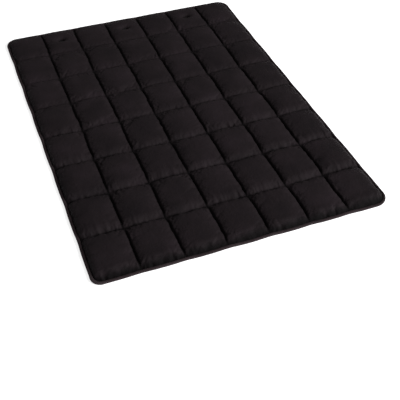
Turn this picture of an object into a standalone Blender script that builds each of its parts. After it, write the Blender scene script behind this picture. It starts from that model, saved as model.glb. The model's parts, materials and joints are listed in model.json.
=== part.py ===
# Quilted roll-up travel blanket, laid flat.
# Metres. +X runs across the columns, +Y along the rows to the fastening end, +Z up.
# The origin is on the floor, under the middle of the blanket.
from math import cos, pi, radians, sin, sqrt, tan

import bmesh
import bpy

# Overall sizes
WIDTH = 0.700
LENGTH = 1.000
COLUMNS = 7
ROWS = 8
TOP_CROWN = 0.011          # seam level to the top of a pillow
UNDER_CROWN = 0.008        # seam level to the floor
CORNER_RADIUS = 0.036

# Plies
SHELL = 0.0006             # cover cloth
WEB = 0.0004               # wadding crushed in a seam
PLY_GAP = 0.0003           # clearance between touching pieces
WADDING_INSET = 0.006      # wadding stops short of the edge seams
BINDING_RADIUS = 0.00385   # corded edge binding

# Turn at each cross seam when rolled up, from the fastening end inward, in degrees
FOLD_ANGLES = (76.5, 67.5, 69.5, 77.5, 86.0, 96.0, 127.0)

# Fastening strap, folded back under the first row
STRAP_PAST_STUD = 0.01957  # middle of the outermost ring stud to the strap's short edge
STRAP_THICKNESS = 0.0016
STRAP_SEAM = 0.018         # blanket's edge to the sewn line
STRAP_BASE = 0.020         # sewn line to the bend over the blanket's edge
STRAP_END = 0.038          # bend to the free edge
STRAP_BEND = 74.0          # turn over the blanket's edge when rolled up, in degrees
HEM_THICKNESS = 0.0012
RING_REACH = 0.026         # bend to the middle of the ring studs
FLOOR_CLEARANCE = 0.0001   # under the ring studs

# Press studs
RING_RADIUS = 0.00615
RING_HOLE_RADIUS = 0.0034
RING_STANDOFF = 0.0007     # how far a ring stands out of each side of the strap
STUD_BASE_RADIUS = 0.0045
STUD_BASE_THICKNESS = 0.0007
STUD_NECK_RADIUS = 0.0019
STUD_HEAD_RADIUS = 0.0026
STUD_HEAD_HEIGHT = 0.0016
STUD_HEAD_CHAMFER = 0.0004
STUD_INTO_RING = 0.0022    # how far a stud's head passes the face of its ring
CAP_RADIUS = 0.0060
CAP_HEIGHT = 0.0020
DIMPLE_HALF = 0.0080       # flat middle of the pinched place round a stud
STUD_COLUMNS = (1, 3, 5)   # second, fourth and sixth column

# Labels
LABEL_LENGTH = 0.100
LABEL_HEIGHT = 0.022
LABEL_THICKNESS = 0.0005
LABEL_REACH = 0.025        # bend to the middle of the label
TAG_SIDE = 0.035
TAG_THICKNESS = 0.0008
TAG_FROM_END = 0.045       # side edge of the blanket to the middle of the tag
TAG_FROM_SEAM = 0.030      # cross seam to the middle of the tag
CLOSURE_ROW = 4            # the row that meets the strap when rolled up, counted from 0

# Worked out from the sizes above
MARGIN = 2 * BINDING_RADIUS + PLY_GAP
COLUMN_PITCH = (WIDTH - 2 * MARGIN) / COLUMNS
ROW_PITCH = (LENGTH - 2 * MARGIN) / ROWS
HALF_SEAM = WEB / 2 + PLY_GAP + SHELL
RING_FLOOR = RING_STANDOFF + FLOOR_CLEARANCE
STRAP_DEPTH = UNDER_CROWN - RING_FLOOR - STRAP_THICKNESS / 2
STUD_DISTANCE = STRAP_SEAM + STRAP_BASE + RING_REACH
STRAP_CROWN = STRAP_DEPTH - STRAP_THICKNESS / 2 - LABEL_THICKNESS - 2 * PLY_GAP
TAG_CROWN = UNDER_CROWN - TAG_THICKNESS - 2 * PLY_GAP

# Height of a pillow along one side of its cell, as a share of its crown
TOP_PROFILE = ((0.0, 0.0), (0.25, 0.8), (0.5, 1.0), (0.75, 0.8), (1.0, 0.0))
UNDER_PROFILE = ((0.0, 0.0), (0.25, 1.0), (0.5, 1.0), (0.75, 1.0), (1.0, 0.0))

# A cap's outline, as shares of its radius and height
CAP_PROFILE = ((0.0, 1.0), (0.6, 0.85), (0.92, 0.45), (1.0, 0.0), (0.0, 0.0))

# Fineness of the round shapes
TURNED_SIDES = 20
BINDING_ARC_STEPS = 5
LABEL_ARC_STEPS = 8
SHARP_ANGLE = 40           # creases steeper than this stay sharp, in degrees

# Colours and finishes: (red, green, blue), roughness, metallic
COVER_FINISH = ((0.018, 0.015, 0.016), 0.85, 0.0)
WADDING_FINISH = ((0.75, 0.74, 0.72), 0.95, 0.0)
BINDING_FINISH = ((0.012, 0.010, 0.011), 0.8, 0.0)
STRAP_FINISH = ((0.015, 0.013, 0.014), 0.8, 0.0)
RING_FINISH = ((0.80, 0.80, 0.80), 0.25, 1.0)
STUD_FINISH = ((0.02, 0.02, 0.02), 0.4, 1.0)
LABEL_FINISH = ((0.85, 0.85, 0.85), 0.6, 0.0)
TAG_FINISH = ((0.80, 0.35, 0.30), 0.7, 0.0)


def clear_scene():
    for item in list(bpy.data.objects):
        bpy.data.objects.remove(item, do_unlink=True)


def new_collection(name):
    collection = bpy.data.collections.new(name)
    bpy.context.scene.collection.children.link(collection)
    return collection


def new_material(name, finish):
    colour, roughness, metallic = finish
    material = bpy.data.materials.new(name)
    material.use_nodes = True
    shader = material.node_tree.nodes["Principled BSDF"]
    shader.inputs["Base Color"].default_value = (*colour, 1.0)
    shader.inputs["Roughness"].default_value = roughness
    shader.inputs["Metallic"].default_value = metallic
    material.diffuse_color = (*colour, 1.0)
    return material


def new_object(name, data, finish, collection):
    item = bpy.data.objects.new(name, data)
    data.materials.append(new_material(name, finish))
    collection.objects.link(item)
    return item


def level(height):
    # World height of a height measured from the seam level
    return UNDER_CROWN + height


def along(distance):
    # World Y of a distance measured from the fastening edge
    return LENGTH / 2 - distance


def column_middle(column):
    return -WIDTH / 2 + MARGIN + (column + 0.5) * COLUMN_PITCH


def row_start(row):
    return MARGIN + row * ROW_PITCH


def seam_cutback(half_height, angle):
    # Half the gap that two pieces of this half height need to fold by this angle
    return half_height * tan(radians(angle) / 2) + PLY_GAP / 2


def row_gaps(row, half_height):
    # Gap at the end of a row nearer the fastening edge, and at its other end
    before = seam_cutback(half_height, FOLD_ANGLES[row - 1]) if row > 0 else 0.0
    after = seam_cutback(half_height, FOLD_ANGLES[row]) if row < ROWS - 1 else 0.0
    return before, after


def grid_lines(pitch, count, pinched, profile, steps):
    # Distances of the grid lines over a run of cells, each with its share of the crown
    # and whether it borders a pinched place. pinched gives that place's middle, by cell.
    lines = []
    for cell in range(count):
        for fraction, share in profile[:-1:steps]:
            if fraction == 0.5 and cell in pinched:
                for side in (-1, 1):
                    lines.append((pinched[cell] + side * DIMPLE_HALF, share, True))
            else:
                lines.append(((cell + fraction) * pitch, share, False))
    lines.append((count * pitch, 0.0, False))
    return lines


def round_corner(x, distance):
    # Draws the square corners of the cover in to an arc
    radius = CORNER_RADIUS - MARGIN
    over_x = abs(x) - (WIDTH / 2 - MARGIN - radius)
    over_y = abs(distance - LENGTH / 2) - (LENGTH / 2 - MARGIN - radius)
    if over_x <= 0 or over_y <= 0:
        return x, distance
    share_x = over_x / radius
    share_y = over_y / radius
    moved_x = share_x * sqrt(1 - share_y ** 2 / 2) * radius
    moved_y = share_y * sqrt(1 - share_x ** 2 / 2) * radius
    side_x = 1 if x > 0 else -1
    side_y = 1 if distance > LENGTH / 2 else -1
    return x + side_x * (moved_x - over_x), distance + side_y * (moved_y - over_y)


def under_crown(row, column):
    # The underside is pressed in where the strap, the studs and the tag lie
    strapped = STUD_COLUMNS[0] <= column <= STUD_COLUMNS[-1]
    if row in (0, CLOSURE_ROW) and strapped:
        return STRAP_CROWN
    if row == CLOSURE_ROW and column == 0:
        return TAG_CROWN
    return UNDER_CROWN


def ply(name, row, bottom, top, inset, steps, finish, collection):
    # One ply of a row: a slab on a grid that follows the pillows.
    # bottom and top each give a side (1 upper, -1 under) and a distance off the seam level.
    pinched_columns = {}
    pinched_rows = {}
    if row == 0:
        pinched_columns = {column: (column + 0.5) * COLUMN_PITCH for column in STUD_COLUMNS}
        pinched_rows = {0: STUD_DISTANCE - row_start(0)}
    before, after = row_gaps(row, HALF_SEAM)
    lines = {}
    for side, profile in ((1, TOP_PROFILE), (-1, UNDER_PROFILE)):
        across = grid_lines(COLUMN_PITCH, COLUMNS, pinched_columns, profile, steps)
        down = grid_lines(ROW_PITCH, 1, pinched_rows, profile, steps)
        lines[side] = (across, down)
    xs = [line[0] for line in lines[1][0]]
    ys = [line[0] for line in lines[1][1]]
    start = -WIDTH / 2 + MARGIN
    xs[0] += inset
    xs[-1] -= inset
    ys[0] += before + inset
    ys[-1] -= after + inset

    mesh = bmesh.new()
    bmesh.ops.create_cube(mesh, size=2.0)
    for vertex in mesh.verts:
        vertex.co.x = start + (xs[0] if vertex.co.x < 0 else xs[-1])
        vertex.co.y = row_start(row) + (ys[0] if vertex.co.y < 0 else ys[-1])
    for x in xs[1:-1]:
        whole = mesh.verts[:] + mesh.edges[:] + mesh.faces[:]
        bmesh.ops.bisect_plane(mesh, geom=whole, plane_co=(start + x, 0, 0), plane_no=(1, 0, 0))
    for y in ys[1:-1]:
        whole = mesh.verts[:] + mesh.edges[:] + mesh.faces[:]
        place = (0, row_start(row) + y, 0)
        bmesh.ops.bisect_plane(mesh, geom=whole, plane_co=place, plane_no=(0, 1, 0))

    def nearest(values, value):
        return min(range(len(values)), key=lambda index: abs(values[index] - value))

    place_of = {}
    for vertex in mesh.verts:
        place_of[vertex] = (nearest(xs, vertex.co.x - start), nearest(ys, vertex.co.y - row_start(row)))

    def share(vertex, side):
        column, line = place_of[vertex]
        return lines[side][0][column][1] * lines[side][1][line][1]

    def is_pinched(vertex):
        column, line = place_of[vertex]
        return lines[1][0][column][2] and lines[1][1][line][2]

    # Every sheet is cut along the same diagonals, so stacked plies stay parallel
    for face in mesh.faces[:]:
        if abs(face.normal.z) < 0.5:
            continue
        corners = list(face.verts)
        peak = max(range(4), key=lambda index: share(corners[index], 1))
        bmesh.utils.face_split(face, corners[peak], corners[peak - 2])

    for vertex in mesh.verts:
        side, offset = top if vertex.co.z > 0 else bottom
        column = min(int((vertex.co.x - start) / COLUMN_PITCH), COLUMNS - 1)
        crown = TOP_CROWN if side > 0 else under_crown(row, column)
        height = (crown - HALF_SEAM) * share(vertex, side)
        if is_pinched(vertex):
            height = 0.0
        x, distance = round_corner(vertex.co.x, vertex.co.y)
        vertex.co = (x, along(distance), level(side * (offset + height)))
    # Distances run against Y, so the moved faces are turned to point outward again
    bmesh.ops.reverse_faces(mesh, faces=mesh.faces[:])
    data = bpy.data.meshes.new(name)
    mesh.to_mesh(data)
    mesh.free()
    data.shade_smooth()
    data.set_sharp_from_angle(angle=radians(SHARP_ANGLE))
    return new_object(name, data, finish, collection)


def row_plies(row, collection):
    inner = WEB / 2 + PLY_GAP
    outer = inner + SHELL
    number = row + 1
    ply(f"top_cover_row_{number}", row, (1, inner), (1, outer), 0.0, 1, COVER_FINISH, collection)
    ply(f"under_cover_row_{number}", row, (-1, outer), (-1, inner), 0.0, 1, COVER_FINISH, collection)
    steps = 1 if row in (0, ROWS - 1) else 2
    ply(f"wadding_row_{number}", row, (-1, WEB / 2), (1, WEB / 2), WADDING_INSET, steps,
        WADDING_FINISH, collection)


def binding(name, points, collection):
    curve = bpy.data.curves.new(name, "CURVE")
    curve.dimensions = "3D"
    curve.bevel_depth = BINDING_RADIUS
    curve.bevel_resolution = 2
    curve.use_fill_caps = True
    spline = curve.splines.new("POLY")
    spline.points.add(len(points) - 1)
    for point, (x, y) in zip(spline.points, points):
        point.co = (x, y, level(0), 1)
    new_object(name, curve, BINDING_FINISH, collection)


def row_binding(row, collection):
    side_x = WIDTH / 2 - BINDING_RADIUS
    before, after = row_gaps(row, BINDING_RADIUS)
    near = row_start(row) + before
    far = row_start(row) + ROW_PITCH - after
    number = row + 1
    if 0 < row < ROWS - 1:
        for word, side in (("left", -1), ("right", 1)):
            ends = [(side * side_x, along(near)), (side * side_x, along(far))]
            binding(f"binding_{word}_row_{number}", ends, collection)
        return
    # The end rows are bound round three sides and two rounded corners
    facing = 1 if row == 0 else -1
    open_end = far if row == 0 else near
    radius = CORNER_RADIUS - BINDING_RADIUS
    middle_x = WIDTH / 2 - CORNER_RADIUS
    middle_y = facing * (LENGTH / 2 - CORNER_RADIUS)
    points = [(-side_x, along(open_end))]
    for start_angle, side in ((pi, -1), (pi / 2, 1)):
        for step in range(BINDING_ARC_STEPS + 1):
            angle = start_angle - step * pi / 2 / BINDING_ARC_STEPS
            x = side * middle_x + radius * cos(angle)
            points.append((x, middle_y + facing * radius * sin(angle)))
    points.append((side_x, along(open_end)))
    binding(f"binding_end_row_{number}", points, collection)


def box(name, x_span, distance_span, height_span, finish, collection):
    mesh = bmesh.new()
    bmesh.ops.create_cube(mesh, size=1.0)
    y_span = (along(distance_span[1]), along(distance_span[0]))
    for vertex in mesh.verts:
        for axis, span in enumerate((x_span, y_span, height_span)):
            vertex.co[axis] = span[0] if vertex.co[axis] < 0 else span[1]
    data = bpy.data.meshes.new(name)
    mesh.to_mesh(data)
    mesh.free()
    return new_object(name, data, finish, collection)


def turned(name, profile, centre, finish, collection):
    # A profile of (radius, height) from top to bottom, turned about its own vertical axis
    mesh = bmesh.new()
    rim = [mesh.verts.new((radius, 0, height)) for radius, height in profile]
    for first, second in zip(rim, rim[1:]):
        mesh.edges.new((first, second))
    if profile[0][0] > 0:
        mesh.edges.new((rim[-1], rim[0]))
    data = bpy.data.meshes.new(name)
    mesh.to_mesh(data)
    mesh.free()
    item = new_object(name, data, finish, collection)
    item.location = centre
    screw = item.modifiers.new("turn", "SCREW")
    screw.axis = "Z"
    screw.steps = TURNED_SIDES
    screw.render_steps = TURNED_SIDES
    screw.use_merge_vertices = True
    screw.merge_threshold = 0.00001
    screw.use_smooth_shade = True
    return item


def strap(collection, cutters):
    half = column_middle(STUD_COLUMNS[-1]) + STRAP_PAST_STUD
    low = level(-STRAP_DEPTH - STRAP_THICKNESS / 2)
    high = level(-STRAP_DEPTH + STRAP_THICKNESS / 2)
    hem_low = high + PLY_GAP
    box("strap_hem", (-half, half), (MARGIN + PLY_GAP, STRAP_SEAM - PLY_GAP),
        (hem_low, hem_low + HEM_THICKNESS), STRAP_FINISH, collection)
    bend = STUD_DISTANCE - RING_REACH
    bend_gap = seam_cutback(STRAP_THICKNESS / 2, STRAP_BEND)
    box("strap_base", (-half, half), (STRAP_SEAM + PLY_GAP / 2, bend - bend_gap),
        (low, high), STRAP_FINISH, collection)
    end = box("strap_end", (-half, half), (bend + bend_gap, bend + STRAP_END),
              (low, high), STRAP_FINISH, collection)
    for number, column in enumerate(STUD_COLUMNS, 1):
        bpy.ops.mesh.primitive_cylinder_add(
            vertices=TURNED_SIDES, radius=RING_RADIUS + PLY_GAP, depth=2 * UNDER_CROWN,
            location=(column_middle(column), along(STUD_DISTANCE), (low + high) / 2))
        cutter = bpy.context.active_object
        cutter.name = f"ring_cutter_{number}"
        for owner in list(cutter.users_collection):
            owner.objects.unlink(cutter)
        cutters.objects.link(cutter)
        cutter.hide_render = True
        cutter.display_type = "WIRE"
        hole = end.modifiers.new(f"ring_hole_{number}", "BOOLEAN")
        hole.operation = "DIFFERENCE"
        hole.solver = "EXACT"
        hole.object = cutter


def ring_studs(collection):
    # A flat ring set through the strap, open to both faces
    half = STRAP_THICKNESS / 2 + RING_STANDOFF
    lip = RING_STANDOFF / 2
    profile = [
        (RING_HOLE_RADIUS, half - lip), (RING_HOLE_RADIUS + lip, half),
        (RING_RADIUS - lip, half), (RING_RADIUS, half - lip),
        (RING_RADIUS, lip - half), (RING_RADIUS - lip, -half),
        (RING_HOLE_RADIUS + lip, -half), (RING_HOLE_RADIUS, lip - half),
    ]
    for number, column in enumerate(STUD_COLUMNS, 1):
        centre = (column_middle(column), along(STUD_DISTANCE), level(-STRAP_DEPTH))
        turned(f"ring_stud_{number}", profile, centre, RING_FINISH, collection)


def stud(name, centre, height, collection):
    # A base under the cloth, a neck and a head that points down into a ring
    head_top = STUD_HEAD_HEIGHT - height
    base_low = -STUD_BASE_THICKNESS
    profile = [
        (0.0, 0.0), (STUD_BASE_RADIUS, 0.0), (STUD_BASE_RADIUS, base_low),
        (STUD_NECK_RADIUS, base_low), (STUD_NECK_RADIUS, head_top),
        (STUD_HEAD_RADIUS, head_top - STUD_HEAD_CHAMFER),
        (STUD_HEAD_RADIUS, STUD_HEAD_CHAMFER - height),
        (STUD_NECK_RADIUS, -height), (0.0, -height),
    ]
    turned(name, profile, centre, STUD_FINISH, collection)


def stow_studs(collection):
    top = -HALF_SEAM - PLY_GAP
    ring_face = -STRAP_DEPTH + STRAP_THICKNESS / 2 + RING_STANDOFF
    height = top - (ring_face - STUD_INTO_RING)
    cap = [(CAP_RADIUS * across, CAP_HEIGHT * up) for across, up in CAP_PROFILE]
    for number, column in enumerate(STUD_COLUMNS, 1):
        x = column_middle(column)
        stud(f"stow_stud_{number}", (x, along(STUD_DISTANCE), level(top)), height, collection)
        seat = (x, along(STUD_DISTANCE), level(HALF_SEAM + PLY_GAP))
        turned(f"stow_cap_{number}", cap, seat, STUD_FINISH, collection)


def turn(point, pivot, angle):
    # Turns a (distance, height) point about a pivot, towards +Z for a point past it
    away = point[0] - pivot[0]
    up = point[1] - pivot[1]
    c = cos(radians(angle))
    s = sin(radians(angle))
    return (pivot[0] + away * c - up * s, pivot[1] + away * s + up * c)


def closure_place():
    # Where the ring studs come to on the closure row, as (distance, height) when laid flat
    base = (STRAP_SEAM, -STRAP_DEPTH)
    bend = (STRAP_SEAM - STRAP_BASE, -STRAP_DEPTH)
    ring = turn((bend[0] - RING_REACH, base[1]), bend, -STRAP_BEND)
    for row in range(CLOSURE_ROW):
        pivot = (row_start(row + 1), 0.0)
        # Unrolling: undo the turn at each seam in order from the fastening end
        ring = turn(ring, pivot, -FOLD_ANGLES[row])
    return ring


def closure_studs(collection):
    distance, ring_height = closure_place()
    into_cell = row_start(CLOSURE_ROW + 1) - distance
    ramp = min(1.0, (into_cell + STUD_BASE_RADIUS) / (ROW_PITCH / 4))
    cover = HALF_SEAM + (STRAP_CROWN - HALF_SEAM) * ramp
    top = -cover - PLY_GAP
    ring_face = ring_height + STRAP_THICKNESS / 2 + RING_STANDOFF
    height = top - (ring_face - STUD_INTO_RING)
    for number, column in enumerate(STUD_COLUMNS, 1):
        centre = (column_middle(column), along(distance), level(top))
        stud(f"closure_stud_{number}", centre, height, collection)


def flat_outline(name, outline, centre, thickness, finish, collection):
    curve = bpy.data.curves.new(name, "CURVE")
    curve.dimensions = "2D"
    curve.fill_mode = "BOTH"
    curve.extrude = thickness / 2
    spline = curve.splines.new("POLY")
    spline.points.add(len(outline) - 1)
    for point, (x, y) in zip(spline.points, outline):
        point.co = (x, y, 0, 1)
    spline.use_cyclic_u = True
    item = new_object(name, curve, finish, collection)
    item.location = centre
    return item


def pill_label(collection):
    radius = LABEL_HEIGHT / 2
    straight = LABEL_LENGTH / 2 - radius
    outline = []
    for side, start in ((1, -pi / 2), (-1, pi / 2)):
        for step in range(LABEL_ARC_STEPS + 1):
            angle = start + step * pi / LABEL_ARC_STEPS
            outline.append((side * straight + radius * cos(angle), radius * sin(angle)))
    x = (column_middle(STUD_COLUMNS[0]) + column_middle(STUD_COLUMNS[1])) / 2
    distance = STRAP_SEAM + STRAP_BASE + LABEL_REACH
    height = -STRAP_DEPTH + STRAP_THICKNESS / 2 + PLY_GAP + LABEL_THICKNESS / 2
    flat_outline("pill_label", outline, (x, along(distance), level(height)),
                 LABEL_THICKNESS, LABEL_FINISH, collection)


def square_tag(collection):
    half = TAG_SIDE / 2
    x = -WIDTH / 2 + TAG_FROM_END
    distance = row_start(CLOSURE_ROW) + TAG_FROM_SEAM
    high = level(-TAG_CROWN - PLY_GAP)
    box("square_tag", (x - half, x + half), (distance - half, distance + half),
        (high - TAG_THICKNESS, high), TAG_FINISH, collection)


def main():
    clear_scene()
    parts = new_collection("quilted_roll_up_blanket")
    cutters = new_collection("cutters")
    for row in range(ROWS):
        row_plies(row, parts)
        row_binding(row, parts)
    strap(parts, cutters)
    ring_studs(parts)
    stow_studs(parts)
    closure_studs(parts)
    pill_label(parts)
    square_tag(parts)
    print("pieces:", len(parts.objects))


main()
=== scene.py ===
import json
import math

import bmesh
import bpy
import numpy as np
from mathutils import Matrix, Vector


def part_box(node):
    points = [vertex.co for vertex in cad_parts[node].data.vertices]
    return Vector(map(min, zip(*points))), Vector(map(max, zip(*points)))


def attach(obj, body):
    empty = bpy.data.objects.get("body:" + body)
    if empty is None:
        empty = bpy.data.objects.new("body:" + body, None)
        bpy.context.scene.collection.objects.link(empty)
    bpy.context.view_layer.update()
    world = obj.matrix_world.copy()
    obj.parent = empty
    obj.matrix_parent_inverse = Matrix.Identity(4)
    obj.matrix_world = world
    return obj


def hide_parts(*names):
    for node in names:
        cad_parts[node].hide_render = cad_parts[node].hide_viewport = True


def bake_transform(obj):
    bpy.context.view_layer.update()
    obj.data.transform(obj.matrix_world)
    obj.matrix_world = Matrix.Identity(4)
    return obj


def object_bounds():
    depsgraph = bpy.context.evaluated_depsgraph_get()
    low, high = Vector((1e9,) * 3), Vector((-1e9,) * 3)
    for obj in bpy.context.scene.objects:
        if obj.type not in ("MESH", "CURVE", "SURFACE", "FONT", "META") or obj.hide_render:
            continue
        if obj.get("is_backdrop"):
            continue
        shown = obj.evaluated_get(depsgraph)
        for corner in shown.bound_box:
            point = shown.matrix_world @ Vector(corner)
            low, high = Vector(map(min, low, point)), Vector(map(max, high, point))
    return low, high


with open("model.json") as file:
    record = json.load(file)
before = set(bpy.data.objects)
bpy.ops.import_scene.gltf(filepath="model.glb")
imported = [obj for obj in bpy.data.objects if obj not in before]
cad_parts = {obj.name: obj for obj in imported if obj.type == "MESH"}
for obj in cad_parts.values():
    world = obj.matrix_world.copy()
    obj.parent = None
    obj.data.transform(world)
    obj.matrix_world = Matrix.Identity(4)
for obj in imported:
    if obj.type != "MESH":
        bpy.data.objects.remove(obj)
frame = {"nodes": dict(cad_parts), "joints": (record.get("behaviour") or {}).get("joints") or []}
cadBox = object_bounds()
scene = bpy.context.scene
joints = {joint["name"]: joint for joint in frame["joints"]}

rowCount = 8
columnCount = 7
seamY = [joints[f"roll_{k}_{k + 1}"]["pos_m"][1] for k in range(1, rowCount)]
seamZ = joints["roll_1_2"]["pos_m"][2]
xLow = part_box("top_cover_row_2")[0][0]
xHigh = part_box("top_cover_row_2")[1][0]
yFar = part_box("top_cover_row_1")[1][1]
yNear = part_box(f"top_cover_row_{rowCount}")[0][1]
columnPitch = (xHigh - xLow) / columnCount
rowPitch = seamY[0] - seamY[1]
print("frame loaded")


# small helpers

def hexColor(code):
    # sRGB hex to linear
    parts = [int(code[i:i + 2], 16) / 255 for i in (1, 3, 5)]
    return tuple(p / 12.92 if p <= 0.04045 else ((p + 0.055) / 1.055) ** 2.4 for p in parts) + (1.0,)


def addNode(tree, kind, settings=None, links=None):
    # links maps an input to a value or to an output socket
    node = tree.nodes.new(kind)
    for key, value in (settings or {}).items():
        setattr(node, key, value)
    for key, value in (links or {}).items():
        if isinstance(value, bpy.types.NodeSocket):
            tree.links.new(value, node.inputs[key])
        else:
            node.inputs[key].default_value = value
    return node


def newMaterial(name):
    material = bpy.data.materials.new(name)
    material.use_nodes = True
    tree = material.node_tree
    tree.nodes.clear()
    output = tree.nodes.new("ShaderNodeOutputMaterial")
    shader = tree.nodes.new("ShaderNodeBsdfPrincipled")
    tree.links.new(shader.outputs[0], output.inputs["Surface"])
    coords = tree.nodes.new("ShaderNodeTexCoord")
    return material, tree, shader, coords.outputs["Object"]


def valueNoise(x, y, size, seed):
    # smooth lattice noise between -1 and 1, with cells of the given size
    table = np.random.default_rng(seed).uniform(-1, 1, (256, 256))
    u = x / size + 1000.0
    v = y / size + 1000.0
    i = np.floor(u).astype(int)
    j = np.floor(v).astype(int)
    a = u - i
    b = v - j
    a = a * a * (3 - 2 * a)
    b = b * b * (3 - 2 * b)
    corner = lambda di, dj: table[(i + di) % 256, (j + dj) % 256]
    low = corner(0, 0) * (1 - a) + corner(1, 0) * a
    high = corner(0, 1) * (1 - a) + corner(1, 1) * a
    return low * (1 - b) + high * b


def softCap(height, limit, softness):
    # follows height, and levels off under limit
    return -softness * np.logaddexp(-height / softness, -limit / softness)


def meshObject(name, points, faces, material, smooth=True):
    mesh = bpy.data.meshes.new(name)
    mesh.from_pydata([tuple(p) for p in points], [], faces)
    mesh.update()
    if smooth:
        mesh.shade_smooth()
    mesh.materials.append(material)
    piece = bpy.data.objects.new(name, mesh)
    scene.collection.objects.link(piece)
    return piece


# materials

def wovenCloth(name, base, dark, light, crinkle=1.0, thread=0.0009, sheen=0.04):
    # polyester taffeta, plain woven: dull, a little sheen where it turns away, fine crinkles
    material, tree, shader, place = newMaterial(name)
    broad = addNode(tree, "ShaderNodeTexNoise", None, {"Vector": place, "Scale": 14.0, "Detail": 4.0})
    ramp = addNode(tree, "ShaderNodeValToRGB", None, {"Fac": broad.outputs["Fac"]})
    ramp.color_ramp.elements[0].position = 0.3
    ramp.color_ramp.elements[0].color = hexColor(dark)
    ramp.color_ramp.elements[1].position = 0.7
    ramp.color_ramp.elements[1].color = hexColor(light)
    middle = ramp.color_ramp.elements.new(0.5)
    middle.color = hexColor(base)
    shader.inputs["Roughness"].default_value = 0.7
    shader.inputs["IOR"].default_value = 1.5
    shader.inputs["Specular IOR Level"].default_value = 0.05
    shader.inputs["Sheen Weight"].default_value = sheen
    shader.inputs["Sheen Roughness"].default_value = 0.45
    shader.inputs["Sheen Tint"].default_value = hexColor("#8C7F82")
    # painted shade: cloth shut in a seam gets no light, so its base colour is darkened by the seamShade
    # attribute
    shut = addNode(tree, "ShaderNodeAttribute", {"attribute_name": "seamShade"})
    shade = addNode(tree, "ShaderNodeMapRange", None,
                    {"Value": shut.outputs["Fac"], "To Min": 1.0, "To Max": 0.10})
    shadePaintedColor = addNode(tree, "ShaderNodeVectorMath", {"operation": "SCALE"},
                   {0: ramp.outputs["Color"], "Scale": shade.outputs["Result"]})
    tree.links.new(shadePaintedColor.outputs[0], shader.inputs["Base Color"])
    # threads about 0.35 mm apart on the real cloth, drawn coarser so that they show
    across = addNode(tree, "ShaderNodeTexWave", {"bands_direction": "X"},
                     {"Vector": place, "Scale": 0.05 / thread * 6.2832, "Distortion": 0.6, "Detail": 1.0})
    along = addNode(tree, "ShaderNodeTexWave", {"bands_direction": "Y"},
                    {"Vector": place, "Scale": 0.05 / thread * 6.2832, "Distortion": 0.6, "Detail": 1.0})
    weave = addNode(tree, "ShaderNodeMath", {"operation": "MULTIPLY"},
                    {0: across.outputs["Fac"], 1: along.outputs["Fac"]})
    coarse = addNode(tree, "ShaderNodeTexNoise", None,
                     {"Vector": place, "Scale": 85.0, "Detail": 5.0, "Distortion": 0.8})
    fine = addNode(tree, "ShaderNodeTexNoise", None,
                   {"Vector": place, "Scale": 260.0, "Detail": 3.0, "Distortion": 0.4})
    bumpCoarse = addNode(tree, "ShaderNodeBump", None,
                         {"Height": coarse.outputs["Fac"], "Strength": 0.55 * crinkle, "Distance": 0.0022})
    bumpFine = addNode(tree, "ShaderNodeBump", None,
                       {"Height": fine.outputs["Fac"], "Strength": 0.45 * crinkle, "Distance": 0.0006,
                        "Normal": bumpCoarse.outputs["Normal"]})
    bumpWeave = addNode(tree, "ShaderNodeBump", None,
                        {"Height": weave.outputs[0], "Strength": 0.25, "Distance": 0.00015,
                         "Normal": bumpFine.outputs["Normal"]})
    tree.links.new(bumpWeave.outputs["Normal"], shader.inputs["Normal"])
    return material


def nickelPlate():
    # nickel-plated brass, pressed and barrel polished: bright, with faint rub marks
    material, tree, shader, place = newMaterial("nickelPlate")
    shader.inputs["Base Color"].default_value = hexColor("#D2D0CC")
    shader.inputs["Metallic"].default_value = 1.0
    marks = addNode(tree, "ShaderNodeTexNoise", None, {"Vector": place, "Scale": 900.0, "Detail": 3.0})
    rough = addNode(tree, "ShaderNodeMapRange", None,
                    {"Value": marks.outputs["Fac"], "To Min": 0.16, "To Max": 0.34})
    tree.links.new(rough.outputs["Result"], shader.inputs["Roughness"])
    bump = addNode(tree, "ShaderNodeBump", None,
                   {"Height": marks.outputs["Fac"], "Strength": 0.15, "Distance": 0.0002})
    tree.links.new(bump.outputs["Normal"], shader.inputs["Normal"])
    return material


def blackLacquer():
    # brass press stud under baked black lacquer: dark, half gloss, rubbed on its edges
    material, tree, shader, place = newMaterial("blackLacquer")
    wear = addNode(tree, "ShaderNodeTexNoise", None, {"Vector": place, "Scale": 700.0, "Detail": 4.0})
    ramp = addNode(tree, "ShaderNodeValToRGB", None, {"Fac": wear.outputs["Fac"]})
    ramp.color_ramp.elements[0].position = 0.45
    ramp.color_ramp.elements[0].color = hexColor("#0F0D0E")
    ramp.color_ramp.elements[1].position = 0.85
    ramp.color_ramp.elements[1].color = hexColor("#2A2625")
    tree.links.new(ramp.outputs["Color"], shader.inputs["Base Color"])
    shader.inputs["Roughness"].default_value = 0.5
    shader.inputs["Specular IOR Level"].default_value = 0.2
    bump = addNode(tree, "ShaderNodeBump", None,
                   {"Height": wear.outputs["Fac"], "Strength": 0.2, "Distance": 0.0002})
    tree.links.new(bump.outputs["Normal"], shader.inputs["Normal"])
    return material


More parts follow.
